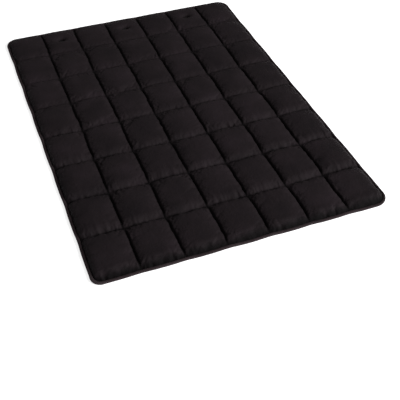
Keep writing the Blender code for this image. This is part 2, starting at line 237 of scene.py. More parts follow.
def siliconeLabel():
    # moulded white silicone rubber: even, satin, slightly dusty in places
    material, tree, shader, place = newMaterial("siliconeLabel")
    dust = addNode(tree, "ShaderNodeTexNoise", None, {"Vector": place, "Scale": 60.0, "Detail": 5.0})
    ramp = addNode(tree, "ShaderNodeValToRGB", None, {"Fac": dust.outputs["Fac"]})
    ramp.color_ramp.elements[0].position = 0.3
    ramp.color_ramp.elements[0].color = hexColor("#E2E1DF")
    ramp.color_ramp.elements[1].position = 0.75
    ramp.color_ramp.elements[1].color = hexColor("#F6F6F4")
    tree.links.new(ramp.outputs["Color"], shader.inputs["Base Color"])
    shader.inputs["Roughness"].default_value = 0.5
    grain = addNode(tree, "ShaderNodeTexNoise", None, {"Vector": place, "Scale": 1500.0, "Detail": 2.0})
    bump = addNode(tree, "ShaderNodeBump", None,
                   {"Height": grain.outputs["Fac"], "Strength": 0.12, "Distance": 0.0001})
    tree.links.new(bump.outputs["Normal"], shader.inputs["Normal"])
    return material


def threadMaterial(name, code):
    # bonded nylon sewing thread: twisted, with a soft shine
    material, tree, shader, place = newMaterial(name)
    twist = addNode(tree, "ShaderNodeTexWave", {"bands_direction": "DIAGONAL"},
                    {"Vector": place, "Scale": 420.0, "Distortion": 1.0})
    ramp = addNode(tree, "ShaderNodeValToRGB", None, {"Fac": twist.outputs["Fac"]})
    base = hexColor(code)
    ramp.color_ramp.elements[0].color = tuple(c * 0.6 for c in base[:3]) + (1.0,)
    ramp.color_ramp.elements[1].color = base
    tree.links.new(ramp.outputs["Color"], shader.inputs["Base Color"])
    shader.inputs["Roughness"].default_value = 0.5
    shader.inputs["Specular IOR Level"].default_value = 0.15
    return material


coverCloth = wovenCloth("polyesterTaffeta", "#201B1D", "#1B1719", "#251F22")
bindingTape = wovenCloth("wovenBindingTape", "#2E2628", "#272022", "#373032", 0.6, 0.0012, 0.12)
strapCloth = wovenCloth("wovenStrapCloth", "#1D1718", "#181314", "#231C1E", 0.45)
blackThread = threadMaterial("blackNylonThread", "#0E0C0D")
whiteThread = threadMaterial("whiteNylonThread", "#E8E6E2")
nickel = nickelPlate()
lacquer = blackLacquer()
silicone = siliconeLabel()
print("materials made")


# the quilt: one sheet of cloth blown up between its seams, and the same sheet turned over under it

quilt = {
    "simStepsX": 22,          # grid steps across a pillow while it is blown up
    "simStepsY": 26,
    "stepsX": 56,             # and in the finished cloth, where they crowd towards the seams
    "stepsY": 64,
    "crowding": 0.5,
    "seamLift": 0.0005,       # cloth above the seam level along the lengthwise seams
    "crossLiftFar": 0.0030,   # the cross seams are pulled down less, least at the far end
    "crossLiftNear": 0.0013,
    "waver": 0.0020,          # how far the sewn lines wander
    "waverSize": 0.085,
    "startCrown": 0.005,
    "topCap": 0.0100,         # height of a filled pillow over the seams
    "rise": 0.0034,           # how soon the wadding fills the cloth out
    "broadCrown": 0.0028,
    "edgeDrop": 0.0042,       # the bound edge lies lower than the seams
    "edgeDropRun": 0.012,
    "farRun": 0.05,           # stretch over which the far edge rises, and by what share of the drop
    "farLift": 0.75,
    "underShare": 0.80,       # fullness of the under side against the top
    "cornerRadius": 0.028,
    "tightCorner": 0.017,     # the near left corner is pulled tighter than the others
    "tuck": 0.0030,           # cloth held inside the binding
    "wrapLevel": 0.0037,      # height of the fastened strap's inner face, on the row it closes on
    "dimpleRadius": 0.0062,
    "puckerCross": 0.0029,
    "puckerLong": 0.0011,
    "puckerEdge": 0.0027,
    "ripple": 0.0014,         # short waves in the sewn lines
    "crossDepthFar": 0.45,    # how deep the cross seams lie, against a full pillow
    "crossDepthNear": 0.90,
    "roll": 0.0016,           # swelling on the far side of a cross seam
    "stripSteps": 14,         # steps each side of a cross seam that go into the seam piece
}
cloth = {"pressure": 4.0, "excess": 0.035, "frames": 20, "quality": 4, "mass": 0.15, "bending": 0.4}


def capCentres(prefix):
    # middle and seat height of each of the three studs of a kind
    places = []
    for number in (1, 2, 3):
        low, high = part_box(f"{prefix}_{number}")
        places.append(((low[0] + high[0]) / 2, (low[1] + high[1]) / 2, low[2], high[2]))
    return places


def quiltGrid():
    # x and y of every simulated point, with sewn lines that wander a little
    xs = np.linspace(xLow, xHigh, columnCount * quilt["simStepsX"] + 1)
    ys = np.linspace(yFar, yNear, rowCount * quilt["simStepsY"] + 1)
    x, y = np.meshgrid(xs, ys)
    border = np.minimum.reduce([x - xLow, xHigh - x, yFar - y, y - yNear])
    ease = np.clip(border / 0.03, 0, 1)
    dx = valueNoise(x, y, quilt["waverSize"], 11) * quilt["waver"] * ease
    dy = valueNoise(x, y, quilt["waverSize"], 12) * quilt["waver"] * ease
    return x, y, dx, dy


def nearShare(v):
    # 0 in the far rows and 1 in the near ones, where the cloth is gathered most
    t = np.clip((v - 1.5) / 4.5, 0, 1)
    return t * t * (3 - 2 * t)


def blownSheet(seed):
    # cloth pinned along every sewn line and blown up between: its points, and heights over the seams
    x, y, dx, dy = quiltGrid()
    u = (x - xLow) / columnPitch
    v = (yFar - y) / rowPitch
    mask = np.zeros(x.shape, bool)
    mask[:, ::quilt["simStepsX"]] = True
    mask[::quilt["simStepsY"], :] = True
    for capX, capY, low, high in capCentres("stow_cap"):
        mask |= np.hypot(x - capX, y - capY) < quilt["dimpleRadius"]
    bulge = np.sqrt(np.abs(np.sin(np.pi * u) * np.sin(np.pi * v)))
    lift = quilt["seamLift"] + 0 * x
    onCross = np.zeros(x.shape, bool)
    onCross[quilt["simStepsY"]:-1:quilt["simStepsY"], :] = True
    crossLift = quilt["crossLiftFar"] + (quilt["crossLiftNear"] - quilt["crossLiftFar"]) * nearShare(v)
    lift[onCross] += (crossLift * np.abs(np.sin(np.pi * u)) ** 0.35)[onCross]
    jitter = np.random.default_rng(seed).normal(0, 0.0002, x.shape)
    z = np.where(mask, lift, quilt["startCrown"] * bulge + jitter)
    rows, columns = x.shape
    index = np.arange(rows * columns).reshape(rows, columns)
    faces = np.stack([index[:-1, :-1], index[1:, :-1], index[1:, 1:], index[:-1, 1:]], -1).reshape(-1, 4)
    points = np.stack([x + dx, y + dy, z], -1).reshape(-1, 3)
    mesh = bpy.data.meshes.new("sheet")
    mesh.from_pydata(points.tolist(), [], faces.tolist())
    mesh.update()
    sheet = bpy.data.objects.new("sheet", mesh)
    scene.collection.objects.link(sheet)
    group = sheet.vertex_groups.new(name="sewn")
    group.add(index[mask].ravel().tolist(), 1.0, "REPLACE")
    modifier = sheet.modifiers.new("blow", "CLOTH")
    settings = modifier.settings
    settings.vertex_group_mass = "sewn"
    settings.quality = cloth["quality"]
    settings.mass = cloth["mass"]
    settings.tension_stiffness = 20
    settings.compression_stiffness = 20
    settings.shear_stiffness = 8
    settings.bending_stiffness = cloth["bending"]
    settings.use_pressure = True
    settings.uniform_pressure_force = cloth["pressure"]
    settings.shrink_min = -cloth["excess"]
    settings.shrink_max = -cloth["excess"]
    settings.effector_weights.gravity = 0
    modifier.collision_settings.use_collision = False
    modifier.collision_settings.use_self_collision = False
    for number in range(1, cloth["frames"] + 1):
        scene.frame_set(number)
    blown = sheet.evaluated_get(bpy.context.evaluated_depsgraph_get()).data
    after = np.empty(len(blown.vertices) * 3)
    blown.vertices.foreach_get("co", after)
    after = after.reshape(rows, columns, 3)
    bpy.data.objects.remove(sheet)
    bpy.data.meshes.remove(mesh)
    scene.frame_set(1)
    move = np.clip(after[..., :2] - points.reshape(rows, columns, 3)[..., :2], -0.003, 0.003)
    print("cloth blown up to", round(float(after[..., 2].max()) * 1000, 1), "mm")
    return x + dx + move[..., 0], y + dy + move[..., 1], after[..., 2]


def crowdedPlaces(cells, steps):
    # places along a run of cells, in cells, closer together at each seam
    s = np.arange(steps) / steps
    t = s - quilt["crowding"] * np.sin(2 * np.pi * s) / (2 * np.pi)
    return np.concatenate([cell + t for cell in range(cells)] + [[cells]])


def resample(values, places, axis):
    # a smooth curve through the values, read at places counted in steps
    values = np.moveaxis(values, axis, 0)
    padded = np.concatenate([2 * values[:1] - values[1:2], values, 2 * values[-1:] - values[-2:-1]])
    i = np.clip(np.floor(places).astype(int), 0, len(values) - 2)
    t = (places - i).reshape((-1,) + (1,) * (values.ndim - 1))
    a, b, c, d = (padded[i + k] for k in range(4))
    curve = b + 0.5 * t * (c - a + t * (2 * a - 5 * b + 4 * c - d + t * (3 * (b - c) + d - a)))
    return np.moveaxis(curve, 0, axis)


uPlaces = crowdedPlaces(columnCount, quilt["stepsX"])
vPlaces = crowdedPlaces(rowCount, quilt["stepsY"])


def refined(values):
    values = resample(values, uPlaces * quilt["simStepsX"], 1)
    return resample(values, vPlaces * quilt["simStepsY"], 0)


def filledOut(x, y, z, seed, strength=1.0):
    # the wadding fills the blown sheet out to a flattish pillow, with gathers along the sewn lines
    v, u = np.meshgrid(vPlaces, uPlaces, indexing="ij")
    cross = np.abs(v - np.round(v)) * rowPitch
    lengthwise = np.abs(u - np.round(u)) * columnPitch
    farSide = v < np.round(v)          # this point lies on the far side of its nearest cross seam
    inner = (np.round(v) > 0) & (np.round(v) < rowCount)
    near = nearShare(v)
    # steep walls in the lengthwise seams; a rounded fall on the far side of a cross seam
    walls = 1 - 0.55 * np.exp(-(lengthwise / 0.0026) ** 2) - 0.25 * np.exp(-lengthwise / 0.0055)
    walls -= 0.20 * np.exp(-lengthwise / 0.018)
    crossDepth = quilt["crossDepthFar"] + (quilt["crossDepthNear"] - quilt["crossDepthFar"]) * near
    depth = np.where(inner, crossDepth, 0.9)
    fallFar = np.exp(-(cross / 0.0105) ** 1.4)
    fallNear = 0.6 * np.exp(-cross / 0.0013) + 0.4 * np.exp(-cross / 0.006)
    walls *= 1 - depth * np.where(farSide, fallFar, fallNear)
    body = walls * (0.45 + 0.55 * (1 - np.exp(-np.maximum(z, 0) / quilt["rise"])))
    high = quilt["topCap"] * body + quilt["broadCrown"] * np.abs(np.sin(np.pi * u) * np.sin(np.pi * v))
    high += quilt["roll"] * near * farSide * np.exp(-((cross - 0.018) / 0.011) ** 2) * body
    side = np.where(farSide, 1.0, 0.4)
    fade = lambda d, run: np.exp(-d / run) * (1 - np.exp(-d / 0.002))
    line = np.round(v)
    patchy = np.clip(0.75 + 0.75 * valueNoise(x, y, 0.04, seed + 2), 0.1, 1.5)
    gather = valueNoise(x, line * 0.37 + farSide * 0.013 + cross * 0.12, 0.0070, seed)
    gather = gather + 0.5 * valueNoise(x, line * 0.29 + farSide * 0.017 + cross * 0.2, 0.0036, seed + 1)
    high += (strength * quilt["puckerCross"] * (0.25 + 0.75 * near) * side * gather * patchy
             * fade(cross, 0.014) * inner)
    ruck = valueNoise(np.round(u) * 0.31 + (u > np.round(u)) * 0.011 + lengthwise * 0.15, y, 0.010, seed + 3)
    high += strength * quilt["puckerLong"] * ruck * patchy * fade(lengthwise, 0.008)
    endEdge = np.minimum(v, rowCount - v) * rowPitch
    hem = valueNoise(x, endEdge * 0.15, 0.0078, seed + 4) + 0.4 * valueNoise(x, endEdge * 0.2, 0.004, seed + 8)
    high += strength * quilt["puckerEdge"] * (0.4 + 0.6 * near) * hem * patchy * fade(endEdge, 0.013)
    sideEdge = np.minimum(u, columnCount - u) * columnPitch
    sideHem = valueNoise(sideEdge * 0.15, y, 0.010, seed + 5)
    high += strength * 0.6 * quilt["puckerEdge"] * sideHem * patchy * fade(sideEdge, 0.010)
    inside = np.minimum(np.clip(cross / 0.03, 0, 1), np.clip(lengthwise / 0.025, 0, 1))
    lumps = valueNoise(x, y, 0.05, seed + 6) * 0.0007 + valueNoise(x, y, 0.022, seed + 7) * 0.0003
    high += strength * inside * lumps
    high *= 1 - 0.75 * np.exp(-(np.hypot(cross, lengthwise) / 0.0085) ** 2)
    for capX, capY, floorZ, capZ in capCentres("stow_cap"):
        away = np.hypot((x - capX) * 0.85, (y - capY) * 1.25) - quilt["dimpleRadius"]
        angle = np.arctan2(y - capY, x - capX)
        crease = 0.16 * np.sin(9 * angle + 3 * capX) * np.exp(-np.maximum(away, 0) / 0.014)
        high *= 1 - (1 + crease) * np.exp(-np.maximum(away, 0) / 0.0055) * 0.95
    return np.maximum(high, quilt["seamLift"] * 0.5)


def roundCorners(x, y):
    # tucks the border into the binding, and draws the four square corners in to an arc
    tuck = quilt["tuck"]
    radius = np.where((x < 0) & (y < 0), quilt["tightCorner"], quilt["cornerRadius"]) + tuck
    middle = (yFar + yNear) / 2
    halfX = (xHigh - xLow) / 2
    halfY = (yFar - yNear) / 2
    pushX = tuck * np.clip(1 - (halfX - np.abs(x)) / 0.012, 0, 1)
    pushY = tuck * np.clip(1 - (halfY - np.abs(y - middle)) / 0.012, 0, 1)
    x = x + np.sign(x) * pushX
    y = y + np.sign(y - middle) * pushY
    overX = np.abs(x) - (halfX + tuck - radius)
    overY = np.abs(y - middle) - (halfY + tuck - radius)
    inCorner = (overX > 0) & (overY > 0)
    a = np.clip(overX / radius, 0, 1)
    b = np.clip(overY / radius, 0, 1)
    movedX = halfX + tuck - radius + a * np.sqrt(1 - b * b / 2) * radius
    movedY = halfY + tuck - radius + b * np.sqrt(1 - a * a / 2) * radius
    newX = np.where(inCorner, np.sign(x) * movedX, x)
    newY = np.where(inCorner, middle + np.sign(y - middle) * movedY, y)
    return newX, newY


def farEase(y):
    # the far edge stands higher, clear of the strap's sewn hem
    t = np.clip((y - yFar + quilt["farRun"]) / quilt["farRun"], 0, 1)
    return 1 - quilt["farLift"] * t * t * (3 - 2 * t)


def edgeFall(x, y):
    # how far the cloth lies under the seam level near the bound edge
    border = np.minimum.reduce([x - xLow, xHigh - x, yFar - y, y - yNear])
    t = np.clip(border / quilt["edgeDropRun"], 0, 1)
    return quilt["edgeDrop"] * (1 - t * t * (3 - 2 * t)) * farEase(y)


def underLimit(x, y):
    # how low the under side may hang: the floor, and less where strap, studs and tag lie
    limit = np.full(x.shape, seamZ - 0.0001)
    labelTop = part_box("pill_label")[1][2]
    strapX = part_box("strap_end")[1][0]
    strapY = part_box("strap_end")[0][1]
    inside = np.clip((strapX + 0.012 - np.abs(x)) / 0.012, 0, 1) * np.clip((y - strapY + 0.012) / 0.012, 0, 1)
    limit = limit * (1 - inside) + (seamZ - labelTop - 0.0004) * inside
    studs = [(place, 0.012) for place in capCentres("closure_stud")]
    studs += [(place, 0.010) for place in capCentres("stow_stud")]
    for (studX, studY, low, high), reach in studs:
        away = np.clip((np.hypot(x - studX, y - studY) - 0.005) / reach, 0, 1)
        away = away * away * (3 - 2 * away)
        limit = np.minimum(limit, (seamZ - high - 0.0003) * (1 - away) + seamZ * away)
    # the fastened strap presses the fifth row flat from its studs to the next seam
    studY = capCentres("closure_stud")[0][1]
    pressed = np.clip((strapX + 0.014 - np.abs(x)) / 0.012, 0, 1) * np.clip((studY + 0.026 - y) / 0.012, 0, 1)
    pressed = pressed * (y > seamY[4])
    limit = np.minimum(limit, (seamZ - quilt["wrapLevel"]) * pressed + seamZ * (1 - pressed))
    tagLow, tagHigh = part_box("square_tag")
    reach = 0.012
    awayX = np.clip((np.maximum(tagLow[0] - x, x - tagHigh[0]) + reach * 0.2) / reach, 0, 1)
    awayY = np.clip((np.maximum(tagLow[1] - y, y - tagHigh[1]) + reach * 0.2) / reach, 0, 1)
    away = np.maximum(awayX, awayY)
    return np.minimum(limit, (seamZ - tagHigh[2] - 0.0003) * (1 - away) + seamZ * away)


def gridNormals(points, side):
    across = np.gradient(points, axis=1)
    down = np.gradient(points, axis=0)
    normal = np.cross(down, across) * side
    return normal / np.maximum(np.linalg.norm(normal, axis=-1, keepdims=True), 1e-12)


def seamShade(x, y):
    # painted shade for the cloth's base colour: 1 down in a sewn line, a dimple or along the bound edge, 0 on
    # open cloth
    v, u = np.meshgrid(vPlaces, uPlaces, indexing="ij")
    cross = np.abs(v - np.round(v)) * rowPitch
    lengthwise = np.abs(u - np.round(u)) * columnPitch
    broken = np.clip(0.75 + 0.8 * valueNoise(u * columnPitch, np.round(v), 0.012, 91), 0.1, 1)
    near = nearShare(v)
    across = np.exp(-(cross / (0.0026 + 0.0013 * near)) ** 2) * (0.6 + 0.4 * near) * broken
    crossing = 0.9 * np.exp(-(np.hypot(cross, lengthwise) / 0.0052) ** 2)
    border = np.minimum(np.minimum(v, rowCount - v) * rowPitch, np.minimum(u, columnCount - u) * columnPitch)
    endEdge = np.minimum(v, rowCount - v) * rowPitch
    # painted shade in the lengthwise seams, the cross seams, their crossings and along the bound edge
    shades = [np.exp(-(lengthwise / 0.0030) ** 2), across, crossing,
              0.95 * np.exp(-(border / 0.0050) ** 2), 0.95 * np.exp(-(endEdge / 0.0080) ** 2)]
    # the near edge turns under, so its face is in shade
    turnedUnder = 0.0120 + 0.0035 * valueNoise(u * columnPitch, 0 * v, 0.011, 95)
    shades.append(0.92 * np.exp(-((rowCount - v) * rowPitch / turnedUnder) ** 4))
    # painted shade in the dimples over the stow caps
    for capX, capY, floorZ, capZ in capCentres("stow_cap"):
        away = np.hypot((x - capX) / 0.0100, (y - capY) / 0.0075)
        shades.append(np.exp(-away ** 4))
    return np.maximum.reduce(shades)


def rippled(x, y):
    # the sewn lines gather in short waves
    v, u = np.meshgrid(vPlaces, uPlaces, indexing="ij")
    cross = np.abs(v - np.round(v)) * rowPitch
    lengthwise = np.abs(u - np.round(u)) * columnPitch
    insideX = (np.round(u) > 0) & (np.round(u) < columnCount)
    insideY = (np.round(v) > 0) & (np.round(v) < rowCount)
    waveX = valueNoise(np.round(u) * 0.23, y, 0.015, 93) * np.exp(-lengthwise / 0.008) * insideX
    waveY = valueNoise(x, np.round(v) * 0.19, 0.013, 94) * np.exp(-cross / 0.008) * insideY
    edge = np.minimum.reduce([u * columnPitch, (columnCount - u) * columnPitch,
                              v * rowPitch, (rowCount - v) * rowPitch])
    ease = np.clip(edge / 0.01, 0, 1) * quilt["ripple"]
    return x + waveX * ease, y + waveY * ease * 1.4


def makeQuilt():
    sheetX, sheetY, sheetZ = blownSheet(21)
    x, y, z = refined(sheetX), refined(sheetY), refined(sheetZ)
    high = filledOut(x, y, z, 31)
    fall = edgeFall(x, y)
    # the under side is the same sewn sheet seen from its other face
    lowX = (x - x[:, ::-1]) / 2
    lowX[:, 0], lowX[:, -1] = x[:, 0], x[:, -1]
    lowZ = filledOut(lowX, y, z[:, ::-1], 51, 0.8) * quilt["underShare"]
    lowZ = np.maximum(softCap(lowZ + fall, underLimit(lowX, y), 0.0007), quilt["seamLift"] * 0.5)
    topX, topY = roundCorners(*rippled(x, y))
    lowX, lowY = roundCorners(*rippled(lowX, y))
    top = np.stack([topX, topY, seamZ + high - fall], -1)
    low = np.stack([lowX, lowY, seamZ - lowZ], -1)
    return top, low


def closedPiece(name, top, low, normalTop, normalLow, first, last, material, shade=None):
    # a stretch of the quilt as one closed form: two skins, two sides and two ends
    rows = last - first + 1
    columns = top.shape[1]
    points = np.concatenate([top[first:last + 1].reshape(-1, 3), low[first:last + 1].reshape(-1, 3)])
    normals = np.concatenate([normalTop[first:last + 1].reshape(-1, 3),
                              normalLow[first:last + 1].reshape(-1, 3)])
    upper = np.arange(rows * columns).reshape(rows, columns)
    lower = upper + rows * columns
    faces = np.stack([upper[:-1, :-1], upper[1:, :-1], upper[1:, 1:], upper[:-1, 1:]], -1).reshape(-1, 4)
    under = np.stack([lower[:-1, :-1], lower[:-1, 1:], lower[1:, 1:], lower[1:, :-1]], -1).reshape(-1, 4)
    left = np.stack([upper[:-1, 0], lower[:-1, 0], lower[1:, 0], upper[1:, 0]], -1)
    right = np.stack([upper[1:, -1], lower[1:, -1], lower[:-1, -1], upper[:-1, -1]], -1)
    far = np.stack([upper[0, 1:], lower[0, 1:], lower[0, :-1], upper[0, :-1]], -1)
    near = np.stack([upper[-1, :-1], lower[-1, :-1], lower[-1, 1:], upper[-1, 1:]], -1)
    every = np.concatenate([faces, under, left, right, far, near])
    piece = meshObject(name, points, every.tolist(), material)
    if shade is not None:
        values = np.tile(shade[first:last + 1].ravel(), 2).astype(np.float32)
        piece.data.attributes.new("seamShade", "FLOAT", "POINT").data.foreach_set("value", values)
    piece.data.normals_split_custom_set_from_vertices(normals.tolist())
    return piece


def bendPiece(piece):
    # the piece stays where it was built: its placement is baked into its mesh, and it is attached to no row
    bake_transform(piece)


top, low = makeQuilt()
shadeField = seamShade(top[..., 0], top[..., 1])
normalTop = gridNormals(top, 1)
normalLow = gridNormals(low, -1)
stepsPerRow = quilt["stepsY"]
strip = quilt["stripSteps"]
bendReach = vPlaces[strip - 1] * rowPitch
for row in range(rowCount):
    first = row * stepsPerRow + (strip if row else 0)
    last = (row + 1) * stepsPerRow - (strip if row < rowCount - 1 else 0)
    number = row + 1
    pad = closedPiece(f"quiltRow{number}", top, low, normalTop, normalLow, first, last,
                      coverCloth, shadeField)
    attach(pad, f"row_{number}")
    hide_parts(f"top_cover_row_{number}", f"wadding_row_{number}", f"under_cover_row_{number}")
for seam in range(rowCount - 1):
    middle = (seam + 1) * stepsPerRow
    fold = closedPiece(f"quiltSeam{seam + 1}", top, low, normalTop, normalLow,
                       middle - strip, middle + strip, coverCloth, shadeField)
    bendPiece(fold)
print("quilt made")


# the corded edge binding

cording = {
    "width": 0.0070,
    "height": 0.0062,
    "sides": 14,
    "step": 0.003,
    "wander": 0.00045,
    "drop": 0.0038,
    "drawIn": 0.0013,         # the edge is pulled in at each seam
}


def bindingPath():
    # points round the blanket, clockwise from the far right corner, with the way outward
    endLow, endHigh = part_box("binding_end_row_1")
    halfX = endHigh[0] - cording["width"] / 2
    halfY = endHigh[1] - cording["width"] / 2
    turns = []
    for turn, (sideX, sideY) in enumerate(((1, 1), (1, -1), (-1, -1), (-1, 1))):
        tight = sideX < 0 and sideY < 0
        radius = quilt["tightCorner" if tight else "cornerRadius"] + cording["width"] / 2
        turns.append((sideX * (halfX - radius), sideY * (halfY - radius), radius))
    runs = []
    for turn in range(4):
        cornerX, cornerY, radius = turns[turn]
        start = math.pi / 2 - turn * math.pi / 2
        count = round(radius * math.pi / 2 / cording["step"])
        for k in range(count + 1):
            angle = start - k / count * math.pi / 2
            out = (math.cos(angle), math.sin(angle))
            runs.append((cornerX + radius * out[0], cornerY + radius * out[1], out))
        nextX, nextY, nextRadius = turns[(turn + 1) % 4]
        out = (round(math.cos(start - math.pi / 2)), round(math.sin(start - math.pi / 2)))
        first = (cornerX + radius * out[0], cornerY + radius * out[1])
        last = (nextX + nextRadius * out[0], nextY + nextRadius * out[1])
        count = round(math.hypot(last[0] - first[0], last[1] - first[1]) / cording["step"])
        for k in range(1, count):
            x = first[0] + (last[0] - first[0]) * k / count
            y = first[1] + (last[1] - first[1]) * k / count
            place = (x - xLow) / columnPitch if out[1] else (yFar - y) / rowPitch
            atCorner = min(k, count - k) * cording["step"] / 0.02
            pull = cording["drawIn"] * math.cos(math.pi * place) ** 4 * min(atCorner, 1)
            runs.append((x - out[0] * pull, y - out[1] * pull, out))
    return runs


def bindingZone(y):
    # row number, or a seam number with .5, for a place along the length
    for seam, place in enumerate(seamY):
        if abs(y - place) < bendReach + 0.0012:
            return seam + 1.5
    return 1 + sum(1 for place in seamY if y < place)


def bindingRings():
    path = bindingPath()
    along = np.array([(x, y) for x, y, out in path])
    rings = []
    for (x, y, out), (px, py) in zip(path, along):
        swell = 1 + 0.05 * math.sin(px * 310 + py * 270)
        wanderZ = cording["wander"] * float(valueNoise(np.array(px), np.array(py), 0.03, 71))
        level = seamZ - cording["drop"] * float(farEase(py)) + wanderZ
        ring = []
        for k in range(cording["sides"]):
            angle = 2 * math.pi * k / cording["sides"]
            c, s = math.cos(angle), math.sin(angle)
            offset = math.copysign(abs(c) ** 0.8, c) * cording["width"] / 2
            rise = math.copysign(abs(s) ** 0.8, s) * cording["height"] / 2 * swell
            ring.append((x + out[0] * offset, y + out[1] * offset, level + rise))
        rings.append(ring)
    return path, rings


def tubePieces(stretches):
    # closes each stretch of rings into a capped tube, several in one mesh
    points = []
    faces = []
    for rings in stretches:
        base = len(points)
        sides = len(rings[0])
        for ring in rings:
            points.extend(ring)
        for r in range(len(rings) - 1):
            for k in range(sides):
                a = base + r * sides + k
                b = base + r * sides + (k + 1) % sides
                faces.append((a, b, b + sides, a + sides))
        faces.append(tuple(base + k for k in reversed(range(sides))))
        faces.append(tuple(base + (len(rings) - 1) * sides + k for k in range(sides)))
    return points, faces


def makeBinding():
    path, rings = bindingRings()
    zones = [bindingZone(y) for x, y, out in path]
    count = len(rings)
    shift = next(i for i in range(count) if zones[i] != zones[i - 1])
    order = [(i + shift) % count for i in range(count)]
    stretches = {}
    current = None
    for position, i in enumerate(order):
        if zones[i] != current:
            current = zones[i]
            stretches.setdefault(current, []).append([])
        stretches[current][-1].append(rings[i])
        following = order[(position + 1) % count]
        if zones[following] != current:
            stretches[current][-1].append(rings[following])
    for zone, runs in sorted(stretches.items()):
        points, faces = tubePieces(runs)
        onRow = zone == int(zone)
        name = f"bindingRow{int(zone)}" if onRow else f"bindingSeam{int(zone)}"
        piece = meshObject(name, points, faces, bindingTape)
        fixNormals(piece)
        if onRow:
            number = int(zone)
            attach(piece, f"row_{number}")
            if number in (1, rowCount):
                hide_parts(f"binding_end_row_{number}")
            else:
                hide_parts(f"binding_left_row_{number}", f"binding_right_row_{number}")
        else:
            bendPiece(piece)
    return path


def fixNormals(piece):
    form = bmesh.new()
    form.from_mesh(piece.data)
    bmesh.ops.recalc_face_normals(form, faces=form.faces[:])
    form.to_mesh(piece.data)
    form.free()


bindingRoute = makeBinding()
print("binding made")


# the strap: a flat doubled cloth with stitched edges

strapCut = {
    "thickness": 0.0015,
    "round": 0.00045,
    "foldReach": 0.0028,      # cloth that turns at the sewn line
    "bendReach": 0.0050,      # cloth that turns at the blanket's edge
    "corner": 0.006,
    "ripple": 0.00018,
    "step": 0.004,
}
foldY = joints["strap_fold"]["pos_m"][1]
bendY = joints["strap_bend"]["pos_m"][1]
strapZ = joints["strap_fold"]["pos_m"][2]


def strapSlab(name, yHigh, yLow, zOf, roundEnd=False):
    # a thin closed slab of cloth from yHigh down to yLow, with soft long edges
    endLow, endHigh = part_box("strap_end")
    half = endHigh[0]
    columns = int(2 * half / strapCut["step"]) + 1
    rows = max(3, int((yHigh - yLow) / 0.0015) + 1)
    xs = np.linspace(-half, half, columns)
    ys = np.linspace(yHigh, yLow, rows)
    x, y = np.meshgrid(xs, ys)
    if roundEnd:
        corner = strapCut["corner"]
        overX = np.clip((np.abs(x) - (half - corner)) / corner, 0, 1)
        overY = np.clip(((yLow + corner) - y) / corner, 0, 1)
        x = np.sign(x) * np.where((overX > 0) & (overY > 0),
                                  half - corner + corner * overX * np.sqrt(1 - overY ** 2 / 2), np.abs(x))
        y = np.where((overX > 0) & (overY > 0),
                     yLow + corner - corner * overY * np.sqrt(1 - overX ** 2 / 2), y)
    edge = half - np.abs(x)
    freeEdge = np.minimum(edge, (y - yLow) if roundEnd else 1.0)
    thick = strapCut["thickness"] / 2 * np.sqrt(np.clip(freeEdge / strapCut["round"], 0.12, 1))
    sewnRow = np.exp(-((freeEdge - 0.003) / 0.0008) ** 2) * 0.00022
    wave = valueNoise(x, y, 0.03, 81) * strapCut["ripple"]
    middle = zOf(y) + wave
    top = np.stack([x, y, middle + thick - sewnRow], -1)
    low = np.stack([x, y, middle - thick + sewnRow], -1)
    return closedPiece(name, top, low, gridNormals(top, 1), gridNormals(low, -1), 0, rows - 1, strapCloth)


hemLow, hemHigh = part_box("strap_hem")
hemMiddle = (hemLow[2] + hemHigh[2]) / 2


def sewnSlope(y):
    # height of the cloth: on the hem outside the sewn line, at the strap inside it
    t = np.clip((foldY + strapCut["foldReach"] - y) / (2 * strapCut["foldReach"]), 0, 1)
    t = t * t * (3 - 2 * t)
    return hemMiddle + (strapZ - hemMiddle) * t


hem = strapSlab("strapHem", hemHigh[1], foldY + strapCut["foldReach"], lambda y: 0 * y + hemMiddle)
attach(hem, "row_1")
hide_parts("strap_hem")
turnUp = strapSlab("strapFold", foldY + strapCut["foldReach"], foldY - strapCut["foldReach"], sewnSlope)
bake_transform(turnUp)
base = strapSlab("strapBase", foldY - strapCut["foldReach"], bendY + strapCut["bendReach"],
                 lambda y: 0 * y + strapZ)
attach(base, "strap_base")
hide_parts("strap_base")
bendStrip = strapSlab("strapBend", bendY + strapCut["bendReach"], bendY - strapCut["bendReach"],
                      lambda y: 0 * y + strapZ)
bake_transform(bendStrip)
strapEnd = strapSlab("strapEnd", bendY - strapCut["bendReach"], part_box("strap_end")[0][1],
                     lambda y: 0 * y + strapZ, True)
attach(strapEnd, "strap_end")
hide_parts("strap_end")
print("strap made")


# press studs

ringSizes = {"steps": 48, "lip": 0.0007}


def turnedPiece(name, profile, centre, steps, material):
    # profile of (radius, height) down the outer side, closed round into a ring or onto the axis
    form = bmesh.new()
    rim = [form.verts.new((radius, 0, height)) for radius, height in profile]
    edges = [form.edges.new(pair) for pair in zip(rim, rim[1:])]
    if profile[0][0] > 0:
        edges.append(form.edges.new((rim[-1], rim[0])))
    bmesh.ops.spin(form, geom=rim + edges, axis=(0, 0, 1), cent=(0, 0, 0), steps=steps,
                   angle=2 * math.pi, use_merge=True)
    bmesh.ops.remove_doubles(form, verts=form.verts[:], dist=0.000002)
    bmesh.ops.recalc_face_normals(form, faces=form.faces[:])
    bmesh.ops.translate(form, verts=form.verts[:], vec=centre)
    mesh = bpy.data.meshes.new(name)
    form.to_mesh(mesh)
    form.free()
    mesh.shade_smooth()
    mesh.set_sharp_from_angle(angle=math.radians(50))
    mesh.materials.append(material)
    piece = bpy.data.objects.new(name, mesh)
    scene.collection.objects.link(piece)
    return piece


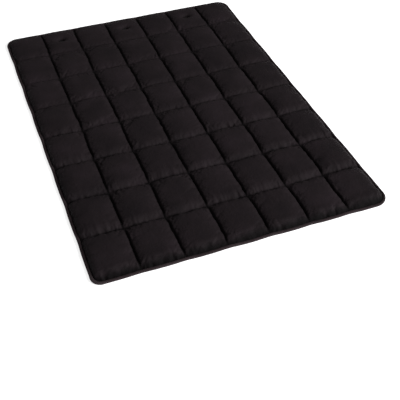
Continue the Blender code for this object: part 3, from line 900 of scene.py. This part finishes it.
def ringProfile(outer, hole, half):
    # rolled outer rim, a shallow channel, and a rolled lip at the hole, the same on both faces
    lip = ringSizes["lip"]
    face = []
    for angle in range(90, 0, -15):
        a = math.radians(angle)
        face.append((outer - lip + lip * math.cos(a), half - lip + lip * math.sin(a)))
    upper = [(hole + lip * 0.2, half - lip), (hole + lip * 0.6, half - lip * 0.25),
             (hole + lip * 1.3, half - lip * 0.2),
             ((hole + outer) / 2, half - lip * 0.55), (outer - lip * 1.4, half - lip * 0.1)] + face
    return upper + [(outer, 0)] + [(r, -z) for r, z in reversed(upper)]


for number in (1, 2, 3):
    ringLow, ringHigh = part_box(f"ring_stud_{number}")
    centre = (np.array(ringLow) + np.array(ringHigh)) / 2
    outer = (ringHigh[0] - ringLow[0]) / 2
    ring = turnedPiece(f"ringStud{number}", ringProfile(outer, outer * 0.52, (ringHigh[2] - ringLow[2]) / 2),
                       tuple(centre), ringSizes["steps"], nickel)
    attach(ring, "strap_end")
    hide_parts(f"ring_stud_{number}")
for kind in ("stow_cap", "stow_stud", "closure_stud"):
    for number in (1, 2, 3):
        stud = frame["nodes"][f"{kind}_{number}"]
        stud.data.materials.clear()
        stud.data.materials.append(lacquer)
print("press studs made")


# label and tag

labelSizes = {"edge": 0.00025, "rim": 0.0016, "sink": 0.0001, "dotRadius": 0.0017, "dotPitch": 0.0058}


def pillOutline(halfLength, radius, steps=24):
    straight = halfLength - radius
    outline = []
    for side, start in ((1, -math.pi / 2), (-1, math.pi / 2)):
        for k in range(steps + 1):
            angle = start + k * math.pi / steps
            outline.append((side * straight + radius * math.cos(angle), radius * math.sin(angle)))
    return outline


def stackedLoops(name, loops, material):
    # joins matching outlines at their heights into a closed form
    points = [point for loop in loops for point in loop]
    count = len(loops[0])
    faces = [tuple(reversed(range(count)))]
    for level in range(len(loops) - 1):
        for k in range(count):
            a = level * count + k
            b = level * count + (k + 1) % count
            faces.append((a, b, b + count, a + count))
    faces.append(tuple((len(loops) - 1) * count + k for k in range(count)))
    return meshObject(name, points, faces, material, smooth=False)


def makeLabel():
    labelLow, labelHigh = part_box("pill_label")
    middle = (np.array(labelLow) + np.array(labelHigh)) / 2
    halfLength = (labelHigh[0] - labelLow[0]) / 2
    radius = (labelHigh[1] - labelLow[1]) / 2
    edge = labelSizes["edge"]
    bottom = labelLow[2]
    highest = labelHigh[2]

    def loop(inset, height):
        return [(middle[0] + x, middle[1] + y, height)
                for x, y in pillOutline(halfLength - inset, radius - inset)]

    rim = labelSizes["rim"]
    loops = [loop(0, bottom), loop(0, highest - edge), loop(edge, highest), loop(rim, highest),
             loop(rim + 0.0002, highest - labelSizes["sink"])]
    label = stackedLoops("pillLabel", loops, silicone)
    dots = []
    for k in (-1, 0, 1):
        dotX = middle[0] - halfLength * 0.72 + k * labelSizes["dotPitch"]
        dot = stackedLoops(f"labelDot{k + 2}", [
            [(dotX + r * math.cos(a), middle[1] + r * math.sin(a), z)
             for a in np.linspace(0, 2 * math.pi, 24, endpoint=False)]
            for r, z in ((labelSizes["dotRadius"], highest - labelSizes["sink"]),
                         (labelSizes["dotRadius"], highest - 0.00003),
                         (labelSizes["dotRadius"] * 0.85, highest))], silicone)
        dots.append(dot)
    for piece in [label] + dots:
        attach(piece, "strap_end")
    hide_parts("pill_label")


tagSizes = {"border": 0.0042}


def tagMaterial(low, high):
    # woven damask tag: white satin field, red border, fine ribs across
    material, tree, shader, place = newMaterial("damaskTag")
    split = addNode(tree, "ShaderNodeSeparateXYZ", None, {0: place})
    reach = []
    for axis in (0, 1):
        centre = (low[axis] + high[axis]) / 2
        away = addNode(tree, "ShaderNodeMath", {"operation": "SUBTRACT"}, {0: split.outputs[axis], 1: centre})
        size = addNode(tree, "ShaderNodeMath", {"operation": "ABSOLUTE"}, {0: away.outputs[0]})
        reach.append(size.outputs[0])
    farther = addNode(tree, "ShaderNodeMath", {"operation": "MAXIMUM"}, {0: reach[0], 1: reach[1]})
    half = (high[0] - low[0]) / 2
    inBorder = addNode(tree, "ShaderNodeMath", {"operation": "GREATER_THAN"},
                       {0: farther.outputs[0], 1: half - tagSizes["border"]})
    mix = addNode(tree, "ShaderNodeMix", {"data_type": "RGBA"}, {"Factor": inBorder.outputs[0]})
    mix.inputs["A"].default_value = hexColor("#F1EFEA")
    mix.inputs["B"].default_value = hexColor("#C8352C")
    tree.links.new(mix.outputs["Result"], shader.inputs["Base Color"])
    shader.inputs["Roughness"].default_value = 0.6
    shader.inputs["Sheen Weight"].default_value = 0.3
    ribs = addNode(tree, "ShaderNodeTexWave", {"bands_direction": "Y"}, {"Vector": place, "Scale": 160.0})
    bump = addNode(tree, "ShaderNodeBump", None,
                   {"Height": ribs.outputs["Fac"], "Strength": 0.4, "Distance": 0.0003})
    tree.links.new(bump.outputs["Normal"], shader.inputs["Normal"])
    return material


def makeTag():
    tagLow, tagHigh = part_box("square_tag")
    material = tagMaterial(tagLow, tagHigh)
    steps = 14
    xs = np.linspace(tagLow[0], tagHigh[0], steps)
    ys = np.linspace(tagHigh[1], tagLow[1], steps)
    x, y = np.meshgrid(xs, ys)
    edge = np.minimum.reduce([x - tagLow[0], tagHigh[0] - x, y - tagLow[1], tagHigh[1] - y])
    sewn = np.exp(-((edge - 0.003) / 0.002) ** 2) * 0.00012
    highest = tagHigh[2] - 0.0001
    lowest = tagLow[2] + 0.0001
    top = np.stack([x, y, highest - sewn], -1)
    low = np.stack([x, y, lowest + sewn], -1)
    tag = closedPiece("squareTag", top, low, gridNormals(top, 1), gridNormals(low, -1),
                      0, steps - 1, material)
    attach(tag, "row_5")
    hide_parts("square_tag")
    return tagLow, tagHigh


makeLabel()
tagLow, tagHigh = makeTag()
print("label and tag made")


# stitches, laid along sewn lines by Geometry Nodes

stitchSizes = {"pitch": 0.0040, "length": 0.0026, "thickness": 0.00055}


def stitchTree():
    tree = bpy.data.node_groups.new("stitchRun", "GeometryNodeTree")
    face = tree.interface
    face.new_socket("Geometry", in_out="INPUT", socket_type="NodeSocketGeometry")
    for label, start in (("Pitch", 0.004), ("Length", 0.0026), ("Thickness", 0.00055)):
        socket = face.new_socket(label, in_out="INPUT", socket_type="NodeSocketFloat")
        socket.default_value = start
    face.new_socket("Thread", in_out="INPUT", socket_type="NodeSocketMaterial")
    face.new_socket("Geometry", in_out="OUTPUT", socket_type="NodeSocketGeometry")
    source = tree.nodes.new("NodeGroupInput")
    curve = addNode(tree, "GeometryNodeMeshToCurve", None, {"Mesh": source.outputs["Geometry"]})
    even = addNode(tree, "GeometryNodeResampleCurve", {"mode": "LENGTH"},
                   {"Curve": curve.outputs[0], "Length": source.outputs["Pitch"]})
    bead = addNode(tree, "GeometryNodeMeshUVSphere", None, {"Segments": 6, "Rings": 4, "Radius": 0.5})
    tangent = tree.nodes.new("GeometryNodeInputTangent")
    aim = addNode(tree, "FunctionNodeAlignRotationToVector", {"axis": "Z"}, {"Vector": tangent.outputs[0]})
    size = addNode(tree, "ShaderNodeCombineXYZ", None,
                   {"X": source.outputs["Thickness"], "Y": source.outputs["Thickness"],
                    "Z": source.outputs["Length"]})
    vary = addNode(tree, "FunctionNodeRandomValue", {"data_type": "FLOAT"}, {"Seed": 7})
    vary.inputs[2].default_value = 0.85
    vary.inputs[3].default_value = 1.1
    scaled = addNode(tree, "ShaderNodeVectorMath", {"operation": "SCALE"},
                     {0: size.outputs[0], "Scale": vary.outputs[1]})
    laid = addNode(tree, "GeometryNodeInstanceOnPoints", None,
                   {"Points": even.outputs[0], "Instance": bead.outputs["Mesh"],
                    "Rotation": aim.outputs[0], "Scale": scaled.outputs[0]})
    real = addNode(tree, "GeometryNodeRealizeInstances", None, {"Geometry": laid.outputs[0]})
    smooth = addNode(tree, "GeometryNodeSetShadeSmooth", None, {"Geometry": real.outputs[0]})
    dressed = addNode(tree, "GeometryNodeSetMaterial", None,
                      {"Geometry": smooth.outputs[0], "Material": source.outputs["Thread"]})
    target = tree.nodes.new("NodeGroupOutput")
    tree.links.new(dressed.outputs[0], target.inputs[0])
    return tree


stitchNodes = stitchTree()


def stitchPiece(name, lines, thread):
    # one plain mesh of stitches along polylines
    points = []
    edges = []
    for line in lines:
        base = len(points)
        points.extend(line)
        edges.extend((base + k, base + k + 1) for k in range(len(line) - 1))
    mesh = bpy.data.meshes.new(name + "Path")
    mesh.from_pydata([tuple(float(c) for c in p) for p in points], edges, [])
    path = bpy.data.objects.new(name + "Path", mesh)
    scene.collection.objects.link(path)
    modifier = path.modifiers.new("stitches", "NODES")
    modifier.node_group = stitchNodes
    wanted = {"Pitch": stitchSizes["pitch"], "Length": stitchSizes["length"],
              "Thickness": stitchSizes["thickness"], "Thread": thread}
    for item in stitchNodes.interface.items_tree:
        if item.in_out == "INPUT" and item.name in wanted:
            modifier[item.identifier] = wanted[item.name]
    evaluated = path.evaluated_get(bpy.context.evaluated_depsgraph_get())
    made = bpy.data.meshes.new_from_object(evaluated)
    made.name = name
    piece = bpy.data.objects.new(name, made)
    bpy.data.objects.remove(path)
    scene.collection.objects.link(piece)
    if not made.materials:
        made.materials.append(thread)
    return piece


def surfaceLine(points, lift):
    return [(p[0], p[1], p[2] + lift) for p in points]


def bindingStitches():
    # a row of stitches on the binding's inner side, top face, by row
    byZone = {}
    inset = cording["width"] * 0.22
    previous = None
    for x, y, out in bindingRoute:
        zone = bindingZone(y)
        if zone != previous:
            byZone.setdefault(zone, []).append([])
            previous = zone
        height = seamZ - cording["drop"] * float(farEase(y)) + cording["height"] / 2 - 0.00005
        byZone[zone][-1].append((x - out[0] * inset, y - out[1] * inset, height))
    for zone, lines in sorted(byZone.items()):
        lines = [line for line in lines if len(line) > 2]
        onRow = zone == int(zone)
        number = int(zone)
        name = f"bindingStitchRow{number}" if onRow else f"bindingStitchSeam{number}"
        piece = stitchPiece(name, lines, blackThread)
        if onRow:
            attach(piece, f"row_{number}")
        else:
            bendPiece(piece)


def seamStitches():
    # stitches down in the lengthwise seams, and across in the cross seams
    columnStep = quilt["stepsX"]
    for row in range(rowCount):
        first = row * stepsPerRow + (strip if row else 1)
        last = (row + 1) * stepsPerRow - (strip if row < rowCount - 1 else 1)
        lines = []
        for seam in range(1, columnCount):
            lines.append(surfaceLine(top[first:last + 1, seam * columnStep], 0.0001))
            lines.append(surfaceLine(low[first:last + 1, seam * columnStep], -0.0001))
        piece = stitchPiece(f"lengthStitchRow{row + 1}", lines, blackThread)
        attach(piece, f"row_{row + 1}")
    for seam in range(rowCount - 1):
        line = (seam + 1) * stepsPerRow
        lines = [surfaceLine(top[line, 3:-3], 0.0001), surfaceLine(low[line, 3:-3], -0.0001)]
        for column in range(1, columnCount):
            for skin, lift in ((top, 0.0001), (low, -0.0001)):
                lines.append(surfaceLine(skin[line - strip:line + strip + 1, column * columnStep], lift))
        piece = stitchPiece(f"crossStitch{seam + 1}", lines, blackThread)
        bendPiece(piece)


def strapStitches():
    endLow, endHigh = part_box("strap_end")
    half = endHigh[0] - 0.003
    thick = strapCut["thickness"] / 2
    yEnd = endLow[1] + 0.003
    baseTop = foldY - strapCut["foldReach"]
    endTop = bendY - strapCut["bendReach"]
    endLines = []
    baseLines = []
    for face in (-1, 1):
        z = strapZ + face * thick
        endLines.append([(-half, endTop, z), (-half, yEnd, z), (half, yEnd, z), (half, endTop, z)])
        for side in (-1, 1):
            baseLines.append([(side * half, baseTop, z), (side * half, bendY + strapCut["bendReach"], z)])
    sewn = stitchPiece("strapEndStitch", endLines, blackThread)
    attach(sewn, "strap_end")
    sewn = stitchPiece("strapBaseStitch", baseLines, blackThread)
    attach(sewn, "strap_base")
    hemZ = hemMiddle - thick + 0.00025
    hemLines = [[(-half, hemHigh[1] - k, hemZ), (half, hemHigh[1] - k, hemZ)] for k in (0.002, 0.0065)]
    sewn = stitchPiece("strapHemStitch", hemLines, blackThread)
    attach(sewn, "row_1")


def tagStitches():
    inset = 0.002
    z = tagLow[2] + 0.0001
    corners = [(tagLow[0] + inset, tagLow[1] + inset), (tagHigh[0] - inset, tagLow[1] + inset),
               (tagHigh[0] - inset, tagHigh[1] - inset), (tagLow[0] + inset, tagHigh[1] - inset)]
    loop = [(x, y, z) for x, y in corners + corners[:1]]
    piece = stitchPiece("tagStitch", [loop], whiteThread)
    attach(piece, "row_5")


bindingStitches()
seamStitches()
strapStitches()
tagStitches()
print("stitches made")


# floor, lights and camera

lighting = {"sky": 0.22, "key": 690.0, "keySize": 3.4, "keyPlace": (4.6, -4.4, 3.4), "table": 0.7}


def makeFloor():
    # opal acrylic light table: matte, even, softly lit from beneath so that shadows stay pale
    material, tree, shader, place = newMaterial("opalAcrylic")
    grain = addNode(tree, "ShaderNodeTexNoise", None, {"Vector": place, "Scale": 3.0, "Detail": 3.0})
    tone = addNode(tree, "ShaderNodeValToRGB", None, {"Fac": grain.outputs["Fac"]})
    tone.color_ramp.elements[0].color = hexColor("#F7F7F7")
    tone.color_ramp.elements[1].color = hexColor("#FFFFFF")
    tree.links.new(tone.outputs["Color"], shader.inputs["Base Color"])
    shader.inputs["Roughness"].default_value = 0.9
    shader.inputs["Emission Color"].default_value = (1, 1, 1, 1)
    shader.inputs["Emission Strength"].default_value = lighting["table"]
    size = 12.0
    corners = [(-size, -size, 0), (size, -size, 0), (size, size, 0), (-size, size, 0)]
    floor = meshObject("studioFloor", corners, [(0, 1, 2, 3)], material, smooth=False)
    floor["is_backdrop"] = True




def areaLight(name, place, aim, power, size):
    data = bpy.data.lights.new(name, "AREA")
    data.energy = power
    data.shape = "SQUARE"
    data.size = size
    light = bpy.data.objects.new(name, data)
    light.location = place
    light.rotation_euler = (Vector(aim) - Vector(place)).to_track_quat("-Z", "Y").to_euler()
    scene.collection.objects.link(light)


def makeLights():
    world = bpy.data.worlds.new("studio")
    scene.world = world
    world.use_nodes = True
    background = world.node_tree.nodes["Background"]
    background.inputs["Color"].default_value = (1, 1, 1, 1)
    background.inputs["Strength"].default_value = lighting["sky"]
    areaLight("keyLight", lighting["keyPlace"], (0, 0, 0), lighting["key"], lighting["keySize"])
    scene.view_settings.view_transform = "Standard"


shot = {"place": (-0.4869, -1.4486, 1.1336), "azimuth": 21.252, "down": 43.461, "roll": 0.302, "lens": 64.76}


def makeCamera():
    data = bpy.data.cameras.new("shot")
    data.lens = shot["lens"]
    data.sensor_width = 36.0
    camera = bpy.data.objects.new("shot", data)
    azimuth = math.radians(shot["azimuth"])
    down = math.radians(shot["down"])
    ahead = Vector((math.sin(azimuth) * math.cos(down), math.cos(azimuth) * math.cos(down), -math.sin(down)))
    turn = ahead.to_track_quat("-Z", "Y").to_matrix().to_4x4()
    roll = Matrix.Rotation(math.radians(shot["roll"]), 4, "Z")
    camera.matrix_world = Matrix.Translation(shot["place"]) @ turn @ roll
    scene.collection.objects.link(camera)
    scene.camera = camera


makeFloor()
makeLights()
makeCamera()
print("floor, lights and camera made")

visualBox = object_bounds()
({"cad": [list(map(float, corner)) for corner in cadBox],
           "visual": [list(map(float, corner)) for corner in visualBox]})
